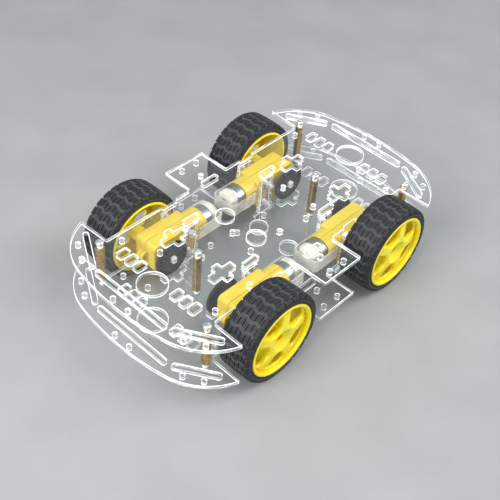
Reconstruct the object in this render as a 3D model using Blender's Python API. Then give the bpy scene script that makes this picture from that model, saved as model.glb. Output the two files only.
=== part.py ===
"""Four wheel robot chassis: two clear acrylic plates on brass standoffs, four geared motors and four wheels.

Frame: +X is the front, +Y the left side, +Z up, origin on the floor under the middle of the chassis.
Every size below is in millimetres; MM turns it into Blender's metres.
Each corner of the car is one drive unit. A unit's own coordinates are:
  u  distance along X from the wheel axis, positive towards the near end of the car,
  v  distance from the car's centre line along Y,
  w  height above the wheel axis.
"""

import math

import bmesh
import bpy

MM = 0.001
GAP = 0.3                      # clearance between neighbouring solids

# Chassis plates
PLATE_THICK = 3.0
LOWER_PLATE_Z = 18.0
UPPER_PLATE_Z = 51.0
PLATE_HALF_LENGTH = 128.0
END_ARC_RADIUS = 200.0         # shallow arc across each end
END_ARC_HALF_WIDTH = 40.0      # where it meets the corner arc
CORNER_ARC_RADIUS = 46.0
BUMPER_TIP = (93.3, 74.5)
WHEEL_NOTCH_END = (92.7, 49.6)
SIDE_WING = (18.0, 74.4)
M3_HOLE_R = 1.6

# Wheels
WHEEL_X = 58.8
AXLE_Z = 33.0
TYRE_R = 33.0
SHOULDER = 2.2
RIM_LIP_R = 27.1
RIM_SEAT_R = 26.2
RIM_CUP_R = 25.2
RIM_DISH_R = 24.6
RIM_LIP_WIDTH = 1.2
RIM_INNER_V = 51.6
RIM_OUTER_V = 77.6
WEB_V = (73.0, 76.0)
HUB_R = 5.5
HUB_V = 53.0
SOCKET_END_V = 58.5
SPOKES = 5
SPOKE_HALF_WIDTH = 3.8
WINDOW_R = (10.5, 23.4)
ROUND_STEPS = 24               # facets round a wheel

# Geared motor
CASE_V = (29.3, 48.0)          # inner and outer faces of the gearbox
SPLIT_V = 38.65                # the housing splits on the motor's own axis
CASE_U = (-27.5, 10.5)
CASE_HALF_HEIGHT = 11.25
WALL = 1.5
SHAFT_R = 2.7
SHAFT_FLAT = 1.85
SHAFT_V = (20.1, 57.2)
BOLT_U = -20.3
BOLT_W = 8.75
TUBE_U = (-38.5, -26.5)        # yellow sleeve that holds the motor can
CAN_U = (-45.6, -28.5)
CAN_R = 10.0
CAN_FLAT = 7.55
CAN_CLEARANCE = 0.35           # between the can and the sleeve
BORE_R = 6.7                   # inside the can's magnets
STRAP_U = (-54.0, -30.5)
BELL_U = (-53.5, -45.9)         # moulded end of the motor

# Gear train: pinion 6 to crown 18, crown pinion 6 to idler 24, idler pinion 8 to output 32
MODULE = 0.5
TEETH = {"motor": 6, "crown": 18, "crown_pinion": 6, "idler": 24, "idler_pinion": 8, "output": 32}
ADDENDUM = 0.4
DEDENDUM = 0.6
IDLER_U = -(TEETH["output"] + TEETH["idler_pinion"]) * MODULE / 2
CROWN_U = IDLER_U - (TEETH["idler"] + TEETH["crown_pinion"]) * MODULE / 2
AXLE_R = 0.9
AXLE_V = (31.1, 46.2)
OUTPUT_V = (35.2, 38.2)        # levels between which each gear's teeth lie
IDLER_PINION_V = (34.7, 38.4)
IDLER_V = (32.4, 34.7)
CROWN_PINION_V = (32.2, 35.0)
CROWN_DISC_V = (35.0, 36.0)
CROWN_TEETH_V = (36.45, 37.25)  # roots and tips of the face teeth
CROWN_TEETH_R = (3.7, 5.0)
ROTOR_U = (-48.4, -48.0, -45.0, -44.0, -32.0, -26.0, -20.6)

# Motor brackets and encoder discs
BRACKET_THICK = 2.9
BRACKET_STEM = (31.7, 43.9)    # distance from the middle of the car
BRACKET_BAR = (27.4, 48.4)
BRACKET_Z = (14.0, 48.0)
DISC_V = (22.6, 25.1)
DISC_R = 13.5
DISC_SLOTS = 20
DISC_SLOT_R = (9.7, 12.2)
DISC_SLOT_HALF_WIDTH = 0.85

# Standoffs
STANDOFF_FLATS = 5.5
SCREW_HEAD_R = 2.75
SCREW_HEAD_HEIGHT = 2.1
SCREW_R = 1.15
STANDOFFS = {
    "standoff_front_left": (98.5, 49.5),
    "standoff_front_right": (98.5, -49.5),
    "standoff_rear_left": (-98.5, 49.5),
    "standoff_rear_right": (-98.5, -49.5),
    "standoff_middle_front": (58.3, 0.0),
    "standoff_middle_rear": (-58.3, 0.0),
}

CORNERS = {
    "front_left": (1, 1),
    "front_right": (1, -1),
    "rear_left": (-1, 1),
    "rear_right": (-1, -1),
}

# name: (red, green, blue, alpha), roughness, metallic
FINISHES = {
    "acrylic": ((0.80, 0.84, 0.84, 0.35), 0.08, 0.0),
    "yellow": ((0.85, 0.62, 0.05, 1.0), 0.38, 0.0),
    "rim_yellow": ((0.90, 0.72, 0.02, 1.0), 0.35, 0.0),
    "tyre": ((0.035, 0.037, 0.04, 1.0), 0.75, 0.0),
    "steel": ((0.62, 0.63, 0.65, 1.0), 0.3, 1.0),
    "brass": ((0.55, 0.38, 0.18, 1.0), 0.35, 1.0),
    "black": ((0.03, 0.03, 0.035, 1.0), 0.5, 0.0),
    "milky": ((0.78, 0.77, 0.72, 1.0), 0.4, 0.0),
    "nylon": ((0.82, 0.82, 0.78, 1.0), 0.45, 0.0),
}


def clear_scene():
    for obj in list(bpy.data.objects):
        bpy.data.objects.remove(obj)


def finish(name):
    """The Principled BSDF of one finish, made the first time it is asked for."""
    if name in bpy.data.materials:
        return bpy.data.materials[name]
    colour, roughness, metallic = FINISHES[name]
    material = bpy.data.materials.new(name)
    material.use_nodes = True
    shader = material.node_tree.nodes["Principled BSDF"]
    shader.inputs["Base Color"].default_value = colour[:3] + (1.0,)
    shader.inputs["Alpha"].default_value = colour[3]
    shader.inputs["Roughness"].default_value = roughness
    shader.inputs["Metallic"].default_value = metallic
    return material


# Flat outlines: lists of (p, q) points, anticlockwise

def arc(centre, radius, start, end, steps):
    """Points along an arc, both ends included; angles in degrees."""
    points = []
    for i in range(steps + 1):
        angle = math.radians(start + (end - start) * i / steps)
        points.append((centre[0] + radius * math.cos(angle), centre[1] + radius * math.sin(angle)))
    return points


def circle(centre, radius, steps):
    """A closed ring of points with one straight below the centre."""
    return arc(centre, radius, -90, 270, steps)[:-1]


def box_outline(low, high):
    return [low, (high[0], low[1]), high, (low[0], high[1])]


def rectangle(centre, width, height):
    half_w, half_h = width / 2, height / 2
    low = (centre[0] - half_w, centre[1] - half_h)
    return box_outline(low, (centre[0] + half_w, centre[1] + half_h))


def slot(start, end, width):
    """A straight slot with round ends; start and end are its outermost points."""
    heading = math.atan2(end[1] - start[1], end[0] - start[0])
    half = width / 2
    step = (half * math.cos(heading), half * math.sin(heading))
    turn = math.degrees(heading)
    near = (start[0] + step[0], start[1] + step[1])
    far = (end[0] - step[0], end[1] - step[1])
    return arc(far, half, turn - 90, turn + 90, 4) + arc(near, half, turn + 90, turn + 270, 4)


def plus(centre, width, height, arm):
    """A plus-shaped cut-out with square ends."""
    x, y, half = width / 2, height / 2, arm / 2
    quarter = [(x, half), (half, half), (half, y)]
    points = quarter + [(-p, q) for p, q in reversed(quarter)]
    points += [(-p, -q) for p, q in quarter] + [(p, -q) for p, q in reversed(quarter)]
    return [(centre[0] + p, centre[1] + q) for p, q in points]


def flatted(radius, flat, arc_points):
    """A circle with two flats at p = -flat and p = +flat."""
    limit = math.degrees(math.acos(flat / radius))
    top = arc((0, 0), radius, limit, 180 - limit, arc_points)
    return top + [(-p, -q) for p, q in top]


def spur(teeth, module=MODULE):
    """A gear's outline with pointed teeth; the first tooth points along +p."""
    pitch_r = teeth * module / 2
    points = []
    for i in range(2 * teeth):
        angle = math.pi * i / teeth
        radius = pitch_r + ADDENDUM if i % 2 == 0 else pitch_r - DEDENDUM
        points.append((radius * math.cos(angle), radius * math.sin(angle)))
    return points


def turned(points, degrees):
    angle = math.radians(degrees)
    cos, sin = math.cos(angle), math.sin(angle)
    return [(p * cos - q * sin, p * sin + q * cos) for p, q in points]


class Solid:
    """A solid made of straight walls, each an outline swept between two levels, and flat caps."""

    def __init__(self):
        self.bm = bmesh.new()
        self.points = {}

    def point(self, flat_point, level):
        key = (round(flat_point[0], 4), round(flat_point[1], 4), round(level, 4))
        if key not in self.points:
            self.points[key] = self.bm.verts.new(key)
        return self.points[key]

    def ring(self, outline, level):
        return [self.point(flat_point, level) for flat_point in outline]

    def edges(self, outline, level):
        ring = self.ring(outline, level)
        found = []
        for a, b in zip(ring, ring[1:] + ring[:1]):
            found.append(self.bm.edges.get((a, b)) or self.bm.edges.new((a, b)))
        return found

    def wall(self, outline, low, high):
        bottom, top = self.ring(outline, low), self.ring(outline, high)
        for i in range(len(outline)):
            j = (i + 1) % len(outline)
            self.bm.faces.new((bottom[i], bottom[j], top[j], top[i]))

    def cap(self, level, *outlines):
        """Fills the flat region between outlines; an edge that two of them share is left out."""
        seen = {}
        for outline in outlines:
            for edge in self.edges(outline, level):
                seen[edge] = not seen.get(edge, False)
        edges = [edge for edge, once in seen.items() if once]
        bmesh.ops.triangle_fill(self.bm, edges=edges, use_beauty=True, use_dissolve=False)

    def tube(self, outline, low, high, *holes):
        """One prism, closed at both ends, with its through holes."""
        for edge in (outline, *holes):
            self.wall(edge, low, high)
        self.cap(low, outline, *holes)
        self.cap(high, outline, *holes)

    def stack(self, levels, outlines):
        """Prisms end to end on one axis: outlines[i] lies between levels[i] and levels[i + 1]."""
        for outline, low, high in zip(outlines, levels, levels[1:]):
            self.wall(outline, low, high)
        self.cap(levels[0], outlines[0])
        self.cap(levels[-1], outlines[-1])
        for level, below, above in zip(levels[1:], outlines, outlines[1:]):
            self.cap(level, below, above)


# How a solid's (p, q, level) becomes the drive unit's (u, v, w)

def across(p, q, level):
    """Outline seen along the wheel axis, swept along v."""
    return p, level, q


def along(p, q, level):
    """Outline seen along the motor axis, swept along u; p is measured from the motor's axis."""
    return level, SPLIT_V + p, q


def upright(p, q, level):
    """Outline seen from the side of the motor's top, swept along w; p along u, q along v."""
    return p, SPLIT_V + q, level


def add_node(name, solid, finish_name, place=None, origin=(0, 0, 0), parent=None):
    """Makes the object; place maps a solid's point to the object's own coordinates in millimetres."""
    if place:
        for vert in solid.bm.verts:
            vert.co = place(*vert.co)
    for vert in solid.bm.verts:
        vert.co = [(c - o) * MM for c, o in zip(vert.co, origin)]
    bmesh.ops.recalc_face_normals(solid.bm, faces=solid.bm.faces)
    if solid.bm.calc_volume(signed=True) < 0:
        bmesh.ops.reverse_faces(solid.bm, faces=solid.bm.faces)
    mesh = bpy.data.meshes.new(name)
    solid.bm.to_mesh(mesh)
    solid.bm.free()
    mesh.shade_smooth()
    mesh.set_sharp_from_angle(angle=math.radians(32))
    mesh.materials.append(finish(finish_name))
    obj = bpy.data.objects.new(name, mesh)
    bpy.context.scene.collection.objects.link(obj)
    obj.parent = parent
    offset = parent.location if parent else (0, 0, 0)
    obj.location = [c * MM - o for c, o in zip(origin, offset)]
    return obj


def add_boolean(obj, operation, other):
    """Joins or cuts with another object, which is then only a helper."""
    modifier = obj.modifiers.new(operation.lower(), "BOOLEAN")
    modifier.operation = operation
    modifier.object = other
    modifier.solver = "EXACT"
    other.hide_render = True
    other.display_type = "WIRE"


# Chassis plates

def plate_outline():
    """One quarter from the front apex round to the side wing, then its three mirror images."""
    centre_x = PLATE_HALF_LENGTH - END_ARC_RADIUS
    half_angle = math.degrees(math.asin(END_ARC_HALF_WIDTH / END_ARC_RADIUS))
    quarter = arc((centre_x, 0), END_ARC_RADIUS, 0, half_angle, 4)
    joint = quarter[-1]
    normal = (math.cos(math.radians(half_angle)), math.sin(math.radians(half_angle)))
    corner = (joint[0] - CORNER_ARC_RADIUS * normal[0], joint[1] - CORNER_ARC_RADIUS * normal[1])
    tip_angle = math.degrees(math.atan2(BUMPER_TIP[1] - corner[1], BUMPER_TIP[0] - corner[0]))
    quarter += arc(corner, CORNER_ARC_RADIUS, half_angle, tip_angle, 7)[1:]
    notch_x, notch_y = WHEEL_NOTCH_END
    bracket_y = CASE_V[1]
    low_x, high_x = BRACKET_STEM[0] - GAP, BRACKET_STEM[1] + GAP
    quarter += [(notch_x, notch_y), (high_x, notch_y), (high_x, bracket_y), (low_x, bracket_y)]
    quarter += [(low_x, notch_y), (SIDE_WING[0], notch_y), SIDE_WING]
    points = quarter + [(-x, y) for x, y in reversed(quarter)]
    points += [(-x, -y) for x, y in quarter[1:]] + [(x, -y) for x, y in reversed(quarter[1:])]
    return [point for i, point in enumerate(points) if point != points[i - 1]]


def mirrored_holes():
    """The cut-outs that repeat in all four quarters of a plate."""
    stem_low, stem_high = BRACKET_STEM[0] - GAP, BRACKET_STEM[1] + GAP
    inner_bracket = (CASE_V[0] - BRACKET_THICK - 2 * GAP, CASE_V[0])
    holes = []
    for sx in (1, -1):
        for sy in (1, -1):
            for x, y in ((124, 6.9), (115.7, 46.7), (108.8, 58.8), (85.3, 43), (7, 68.8)):
                holes.append(circle((sx * x, sy * y), M3_HOLE_R, 8))
            for y in (33.0, 25.0, 17.0):
                holes.append(rectangle((sx * 92.9, sy * y), 8.6, 5.2))
            holes.append(plus((sx * 58.5, sy * 22.3), 20.0, 14.6, 5.6))
            holes.append(slot((sx * 98.5, sy * 64.0), (sx * 115.0, sy * 36.5), 3.5))
            xs = sorted((sx * stem_low, sx * stem_high))
            ys = sorted((sy * inner_bracket[0], sy * inner_bracket[1]))
            holes.append(box_outline((xs[0], ys[0]), (xs[1], ys[1])))
        holes.append(circle((sx * 97.7, 0), 10.0, 20))
        holes.append(slot((sx * 116, -32), (sx * 116, 32), 3.5))
        holes.append(rectangle((0, sx * 48.0), 14.0, 4.0))
    holes += [circle(place, M3_HOLE_R, 8) for place in STANDOFFS.values()]
    return holes


def add_plate(name, bottom, facing):
    """facing is 1 for the upper plate; the lower one is the same plate turned half round."""
    solid = Solid()
    own = [circle((facing * 18.5, side * 14.5), 6.5, 14) for side in (1, -1)]
    own_screws = ((26.7, 0.6), (2.8, 21.1), (30.6, 21.1), (-33.1, -7.8), (-20.6, 24.4), (75, -17.8),
                  (1, 55.8), (1, -55.8), (53.8, 41.9), (-33.5, 19.8), (-80.5, 23.8))
    own += [circle((facing * x, facing * y), M3_HOLE_R, 8) for x, y in own_screws]
    solid.tube(plate_outline(), bottom, bottom + PLATE_THICK, *mirrored_holes(), *own)
    add_node(name, solid, "acrylic")


def add_standoff(name, x, y):
    """A hexagonal spacer with the pan-head screw at each end."""
    low, high = LOWER_PLATE_Z, UPPER_PLATE_Z + PLATE_THICK
    levels = [low - GAP - SCREW_HEAD_HEIGHT, low - GAP, low + PLATE_THICK + GAP, UPPER_PLATE_Z - GAP,
              high + GAP, high + GAP + SCREW_HEAD_HEIGHT]
    head, shank = circle((0, 0), SCREW_HEAD_R, 10), circle((0, 0), SCREW_R, 6)
    hexagon = circle((0, 0), STANDOFF_FLATS / math.sqrt(3), 6)
    solid = Solid()
    solid.stack(levels, [head, shank, hexagon, shank, head])
    add_node(name, solid, "brass", lambda p, q, z: (p + x, q + y, z))


# Wheel

def window(middle):
    """An opening between two spokes, in degrees round the wheel."""
    half = 180 / SPOKES
    inner = half - math.degrees(math.asin(SPOKE_HALF_WIDTH / WINDOW_R[0]))
    outer = half - math.degrees(math.asin(SPOKE_HALF_WIDTH / WINDOW_R[1]))
    points = arc((0, 0), WINDOW_R[1], middle - outer, middle + outer, 3)
    return points + arc((0, 0), WINDOW_R[0], middle + inner, middle - inner, 1)


def rim_solid(first_spoke):
    """first_spoke is the direction of one spoke, in degrees from the near end of the car."""
    lip, seat = circle((0, 0), RIM_LIP_R, ROUND_STEPS), circle((0, 0), RIM_SEAT_R, ROUND_STEPS)
    cup, dish = circle((0, 0), RIM_CUP_R, ROUND_STEPS), circle((0, 0), RIM_DISH_R, ROUND_STEPS)
    hub, screw_hole = circle((0, 0), HUB_R, 12), circle((0, 0), 1.5, 6)
    socket = flatted(SHAFT_R + GAP, SHAFT_FLAT + GAP, 4)
    windows = [window(first_spoke + 360 / SPOKES * (i + 0.5)) for i in range(SPOKES)]
    inner_lip, outer_lip = RIM_INNER_V + RIM_LIP_WIDTH, RIM_OUTER_V - RIM_LIP_WIDTH
    solid = Solid()
    solid.wall(lip, RIM_INNER_V, inner_lip)
    solid.wall(seat, inner_lip, outer_lip)
    solid.wall(lip, outer_lip, RIM_OUTER_V)
    solid.wall(cup, RIM_INNER_V, WEB_V[0])
    solid.wall(dish, WEB_V[1], RIM_OUTER_V)
    solid.wall(hub, HUB_V, WEB_V[0])
    solid.wall(socket, HUB_V, SOCKET_END_V)
    solid.wall(screw_hole, SOCKET_END_V, WEB_V[1])
    for opening in windows:
        solid.wall(opening, *WEB_V)
    solid.cap(RIM_INNER_V, lip, cup)
    solid.cap(inner_lip, lip, seat)
    solid.cap(outer_lip, lip, seat)
    solid.cap(RIM_OUTER_V, lip, dish)
    solid.cap(WEB_V[0], cup, hub, *windows)
    solid.cap(WEB_V[1], dish, screw_hole, *windows)
    solid.cap(HUB_V, hub, socket)
    solid.cap(SOCKET_END_V, socket, screw_hole)
    return solid


def tyre_solid():
    """A turned section: bead inside the rim's lips, sidewalls, rounded shoulders and the tread."""
    seat_r, lip_r = RIM_SEAT_R + GAP, RIM_LIP_R + GAP
    inner_v, outer_v = RIM_INNER_V + RIM_LIP_WIDTH + GAP, RIM_OUTER_V - RIM_LIP_WIDTH - GAP
    near_v, far_v, wall_r = RIM_INNER_V + GAP, RIM_OUTER_V - GAP, TYRE_R - SHOULDER
    section = [(seat_r, inner_v), (lip_r, inner_v), (lip_r, near_v), (wall_r, near_v),
               (TYRE_R, near_v + SHOULDER), (TYRE_R, far_v - SHOULDER),
               (wall_r, far_v), (lip_r, far_v), (lip_r, outer_v), (seat_r, outer_v)]
    solid = Solid()
    rings = [solid.ring(circle((0, 0), radius, ROUND_STEPS), v) for radius, v in section]
    for here, there in zip(rings, rings[1:] + rings[:1]):
        for i in range(ROUND_STEPS):
            j = (i + 1) % ROUND_STEPS
            solid.bm.faces.new((here[i], here[j], there[j], there[i]))
    return solid


def disc_solid():
    """The slotted disc that an optical sensor counts."""
    rim = circle((0, 0), DISC_R, DISC_SLOTS)
    bore = flatted(SHAFT_R + GAP, SHAFT_FLAT + GAP, 4)
    opening = rectangle((sum(DISC_SLOT_R) / 2, 0), DISC_SLOT_R[1] - DISC_SLOT_R[0], 2 * DISC_SLOT_HALF_WIDTH)
    slots = [turned(opening, 360 * i / DISC_SLOTS) for i in range(DISC_SLOTS)]
    solid = Solid()
    solid.tube(rim, *DISC_V, bore, *slots)
    return solid


# Gear train

def phased(outline, teeth, mesh_degrees, gap_facing):
    """Turns a gear so that a tooth, or a gap when gap_facing, points along mesh_degrees."""
    return turned(outline, mesh_degrees + (180 / teeth if gap_facing else 0))


def output_shaft_solid():
    """The through shaft with the last gear, whose teeth mesh towards -u."""
    shaft = flatted(SHAFT_R, SHAFT_FLAT, 4)
    gear = phased(spur(TEETH["output"]), TEETH["output"], 180, False)
    solid = Solid()
    solid.stack([SHAFT_V[0], *OUTPUT_V, SHAFT_V[1]], [shaft, gear, shaft])
    return solid


def idler_solid():
    axle = circle((0, 0), AXLE_R, 6)
    wheel = phased(spur(TEETH["idler"]), TEETH["idler"], 180, False)
    pinion = phased(spur(TEETH["idler_pinion"]), TEETH["idler_pinion"], 0, True)
    solid = Solid()
    solid.stack([AXLE_V[0], *IDLER_V, IDLER_PINION_V[1], AXLE_V[1]], [axle, wheel, pinion, axle])
    return solid


def crown_solid():
    """A spur pinion, a disc, and a ring of face teeth that the motor's pinion turns."""
    steps = 2 * TEETH["crown"]
    disc_v, floor_v = CROWN_DISC_V
    root_v, tip_v = CROWN_TEETH_V
    axle = circle((0, 0), AXLE_R, 6)
    pinion = phased(spur(TEETH["crown_pinion"]), TEETH["crown_pinion"], 0, True)
    inner, outer = [circle((0, 0), radius, steps) for radius in CROWN_TEETH_R]
    solid = Solid()
    solid.wall(axle, AXLE_V[0], CROWN_PINION_V[0])
    solid.wall(pinion, *CROWN_PINION_V)
    solid.wall(axle, floor_v, AXLE_V[1])
    solid.cap(AXLE_V[0], axle)
    solid.cap(AXLE_V[1], axle)
    solid.cap(CROWN_PINION_V[0], axle, pinion)
    solid.cap(disc_v, pinion, outer)
    solid.cap(floor_v, axle, inner)
    base_out, base_in = solid.ring(outer, disc_v), solid.ring(inner, floor_v)
    # A tooth's tip lies on every second radius; radius 0 points straight down, a quarter turn from the pinion.
    tips = [tip_v if (i - steps // 4) % 2 else root_v for i in range(steps)]
    crest_out = [solid.point(outer[i], tips[i]) for i in range(steps)]
    crest_in = [solid.point(inner[i], tips[i]) for i in range(steps)]
    for i in range(steps):
        j = (i + 1) % steps
        for a, b in ((base_out, crest_out), (crest_out, crest_in), (crest_in, base_in)):
            solid.bm.faces.new((a[i], a[j], b[j], b[i]))
    return solid


def rotor_solid():
    """The motor's shaft with its pinion, armature and commutator."""
    pinion = phased(spur(TEETH["motor"]), TEETH["motor"], 180, False)
    shaft = circle((0, 0), 0.8, 6)
    armature, commutator = circle((0, 0), 6.2, 12), circle((0, 0), 2.4, 8)
    solid = Solid()
    solid.stack(ROTOR_U, [shaft, commutator, shaft, armature, shaft, pinion])
    return solid


# Motor housing

def gearbox_outline(with_tab):
    """The gearbox from the side, round at its free end, with or without the fixing tab."""
    near, far, high = CASE_U[0], CASE_U[1], CASE_HALF_HEIGHT
    corner, tab = 3.5, 4.2
    points = [(near, -high)] + arc((far - corner, corner - high), corner, -90, 0, 2) + [(far, -tab)]
    if with_tab:
        points += arc((far + 1.2, 0), tab, -70, 70, 4)
    points += [(far, tab)] + arc((far - corner, high - corner), corner, 0, 90, 2) + [(near, high)]
    return points


def pocket_outline():
    """The space inside, stepped in round the two bolt bosses."""
    near, far, high = CASE_U[0] + WALL, CASE_U[1] - WALL, CASE_HALF_HEIGHT - WALL
    boss_near, boss_far, boss = BOLT_U - 3.1, BOLT_U + 3.1, BOLT_W - 2.5
    half = [(near, high), (boss_near, high), (boss_near, boss), (boss_far, boss), (boss_far, high), (far, high)]
    return [(p, -q) for p, q in half] + list(reversed(half))


def sleeve_section(side):
    """Half of the sleeve round the motor can; side is -1 for the inner shell and 1 for the outer."""
    outer_flat, inner_flat = (CASE_V[1] - CASE_V[0]) / 2, CAN_FLAT + CAN_CLEARANCE
    outer_r, inner_r = CASE_HALF_HEIGHT, CAN_R + CAN_CLEARANCE
    edge = side * GAP / 2
    limit = math.degrees(math.acos(outer_flat / outer_r))
    outside = [(side * p, q) for p, q in arc((0, 0), outer_r, limit, 85, 3)]
    limit = math.degrees(math.acos(inner_flat / inner_r))
    inside = [(side * p, q) for p, q in arc((0, 0), inner_r, limit, 85, 3)]
    upper = outside + [(edge, outer_r)]
    lower = [(p, -q) for p, q in reversed(upper)]
    upper_in = [(edge, inner_r)] + list(reversed(inside))
    lower_in = [(p, -q) for p, q in reversed(upper_in)]
    return lower + upper + upper_in + lower_in


def shell_solid(side):
    """One half of the gearbox; side is -1 for the case and 1 for the cover, on the wheel's side."""
    face = CASE_V[0] if side < 0 else CASE_V[1]
    split = SPLIT_V + side * GAP / 2
    floor = face - side * WALL
    tab_edge = SPLIT_V + side * 2.6
    outline, tabbed, pocket = gearbox_outline(False), gearbox_outline(True), pocket_outline()
    shaft_hole = circle((0, 0), SHAFT_R + 0.6, 10)
    tab_hole = circle((CASE_U[1] + 2.4, 0), 1.5, 8)
    bolts = [circle((BOLT_U, w), M3_HOLE_R, 8) for w in (BOLT_W, -BOLT_W)]
    solid = Solid()
    solid.wall(outline, face, tab_edge)
    solid.wall(tabbed, tab_edge, split)
    solid.wall(pocket, floor, split)
    solid.wall(shaft_hole, face, floor)
    solid.wall(tab_hole, tab_edge, split)
    for bolt in bolts:
        solid.wall(bolt, face, split)
    solid.cap(face, outline, shaft_hole, *bolts)
    solid.cap(floor, pocket, shaft_hole)
    solid.cap(tab_edge, outline, tabbed, tab_hole)
    solid.cap(split, tabbed, pocket, tab_hole, *bolts)
    return solid


def can_solid():
    """The motor's steel can with its magnets, closed at the front round the shaft hole."""
    body = flatted(CAN_R, CAN_FLAT, 6)
    bore, nose = circle((0, 0), BORE_R, 12), circle((0, 0), 1.5, 6)
    inner_face = CAN_U[1] - 1.0
    solid = Solid()
    solid.wall(body, *CAN_U)
    solid.wall(bore, CAN_U[0], inner_face)
    solid.wall(nose, inner_face, CAN_U[1])
    solid.cap(CAN_U[0], body, bore)
    solid.cap(inner_face, bore, nose)
    solid.cap(CAN_U[1], body, nose)
    return solid


def strap_solid():
    """The retaining band, seen from above: across the motor's end and forward along both sides."""
    inside, outside = CASE_V[1] - SPLIT_V + GAP, CASE_V[1] - SPLIT_V + GAP + 1.0
    bar = STRAP_U[0] + 1.0
    half = [(STRAP_U[0], outside), (STRAP_U[1], outside), (STRAP_U[1], inside), (bar, inside)]
    solid = Solid()
    solid.tube([(p, -q) for p, q in reversed(half)] + half, -4.6, 4.6)
    return solid


def bell_solid():
    """The moulded end of the motor, hollow where the commutator turns."""
    body, pocket = flatted(CAN_R - 0.5, CAN_FLAT - 0.3, 6), circle((0, 0), 5.0, 12)
    far, near = BELL_U
    solid = Solid()
    solid.wall(body, far, near)
    solid.wall(pocket, far + 3.0, near)
    solid.cap(far, body)
    solid.cap(far + 3.0, pocket)
    solid.cap(near, body, pocket)
    return solid


# Drive unit

def bracket_solid():
    """A T-shaped plate: the stem stands up through the lower chassis plate, the bar stays under it."""
    low, high = BRACKET_Z[0] - AXLE_Z, BRACKET_Z[1] - AXLE_Z
    shoulder = LOWER_PLATE_Z - GAP - AXLE_Z
    bar, stem = [[x - WHEEL_X for x in span] for span in (BRACKET_BAR, BRACKET_STEM)]
    outline = [(bar[0], low), (bar[1], low), (bar[1], shoulder), (stem[1], shoulder),
               (stem[1], high), (stem[0], high), (stem[0], shoulder), (bar[0], shoulder)]
    return outline, [circle((BOLT_U, w), M3_HOLE_R, 8) for w in (BOLT_W, -BOLT_W)]


def add_drive_unit(corner, sx, sy):
    """Everything at one wheel; sx and sy mirror the unit into its corner of the car."""

    def mirror(u, v, w):
        return sx * (WHEEL_X + u), sy * v, AXLE_Z + w

    def placed(view):
        return lambda p, q, level: mirror(*view(p, q, level))

    def node(name, solid, finish_name, view=across, axis=None):
        origin = mirror(*axis) if axis else (0, 0, 0)
        parent = hub if axis else None
        return add_node(f"{name}_{corner}", solid, finish_name, placed(view), origin, parent)

    hub = bpy.data.objects.new(f"axle_{corner}", None)
    hub.location = [c * MM for c in mirror(0, SPLIT_V, 0)]
    bpy.context.scene.collection.objects.link(hub)

    wheel_axis = (0, SPLIT_V, 0)
    node("wheel_rim", rim_solid(171.5 if sx > 0 else 4), "rim_yellow", axis=wheel_axis)
    node("tyre", tyre_solid(), "tyre", axis=wheel_axis)
    node("encoder_disc", disc_solid(), "black", axis=wheel_axis)
    node("output_shaft", output_shaft_solid(), "nylon", axis=wheel_axis)

    def off_axis(offset):
        return lambda p, q, level: (p + offset, level, q)

    node("idler_gear", idler_solid(), "nylon", off_axis(IDLER_U), (IDLER_U, SPLIT_V, 0))
    node("crown_gear", crown_solid(), "nylon", off_axis(CROWN_U), (CROWN_U, SPLIT_V, 0))
    node("motor_rotor", rotor_solid(), "steel", along, (-40.0, SPLIT_V, 0))

    for name, side in (("gearbox_case", -1), ("gearbox_cover", 1)):
        shell = node(name, shell_solid(side), "yellow")
        sleeve = Solid()
        sleeve.tube(sleeve_section(side), *TUBE_U)
        add_boolean(shell, "UNION", node(f"sleeve_{name}", sleeve, "yellow", along))
        relief = Solid()
        relief.tube(circle((0, 0), 1.7, 6), TUBE_U[1] - 3.0, TUBE_U[1] + 1.5)
        add_boolean(shell, "DIFFERENCE", node(f"relief_{name}", relief, "yellow", along))

    node("motor_can", can_solid(), "steel", along)
    strap = node("motor_end_cap", strap_solid(), "milky", upright)
    add_boolean(strap, "UNION", node("end_bell", bell_solid(), "milky", along))

    outline, bolts = bracket_solid()
    inner_v = CASE_V[0] - GAP - BRACKET_THICK
    for name, low in (("motor_bracket_inner", inner_v), ("motor_bracket_outer", CASE_V[1] + GAP)):
        solid = Solid()
        solid.tube(outline, low, low + BRACKET_THICK, *bolts)
        node(name, solid, "acrylic")


def main():
    clear_scene()
    add_plate("lower_plate", LOWER_PLATE_Z, -1)
    add_plate("upper_plate", UPPER_PLATE_Z, 1)
    for name, (x, y) in STANDOFFS.items():
        add_standoff(name, x, y)
    for corner, (sx, sy) in CORNERS.items():
        add_drive_unit(corner, sx, sy)


main()
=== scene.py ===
"""Looks of the four wheel robot chassis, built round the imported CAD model.

Frame: +X is the front, +Y the left side, +Z up. Lengths are in millimetres, and MM turns them into
Blender's metres. Each corner of the car is one drive unit with its own coordinates: u runs along X from
the wheel axis towards the near end of the car, v outwards from the car's centre line along Y, and w
upwards from the wheel axis.
"""

from math import acos, asin, atan2, cos, degrees, pi, radians, sin, sqrt, tan

import bmesh
import bpy
import numpy as np
from mathutils import Matrix, Vector


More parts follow.
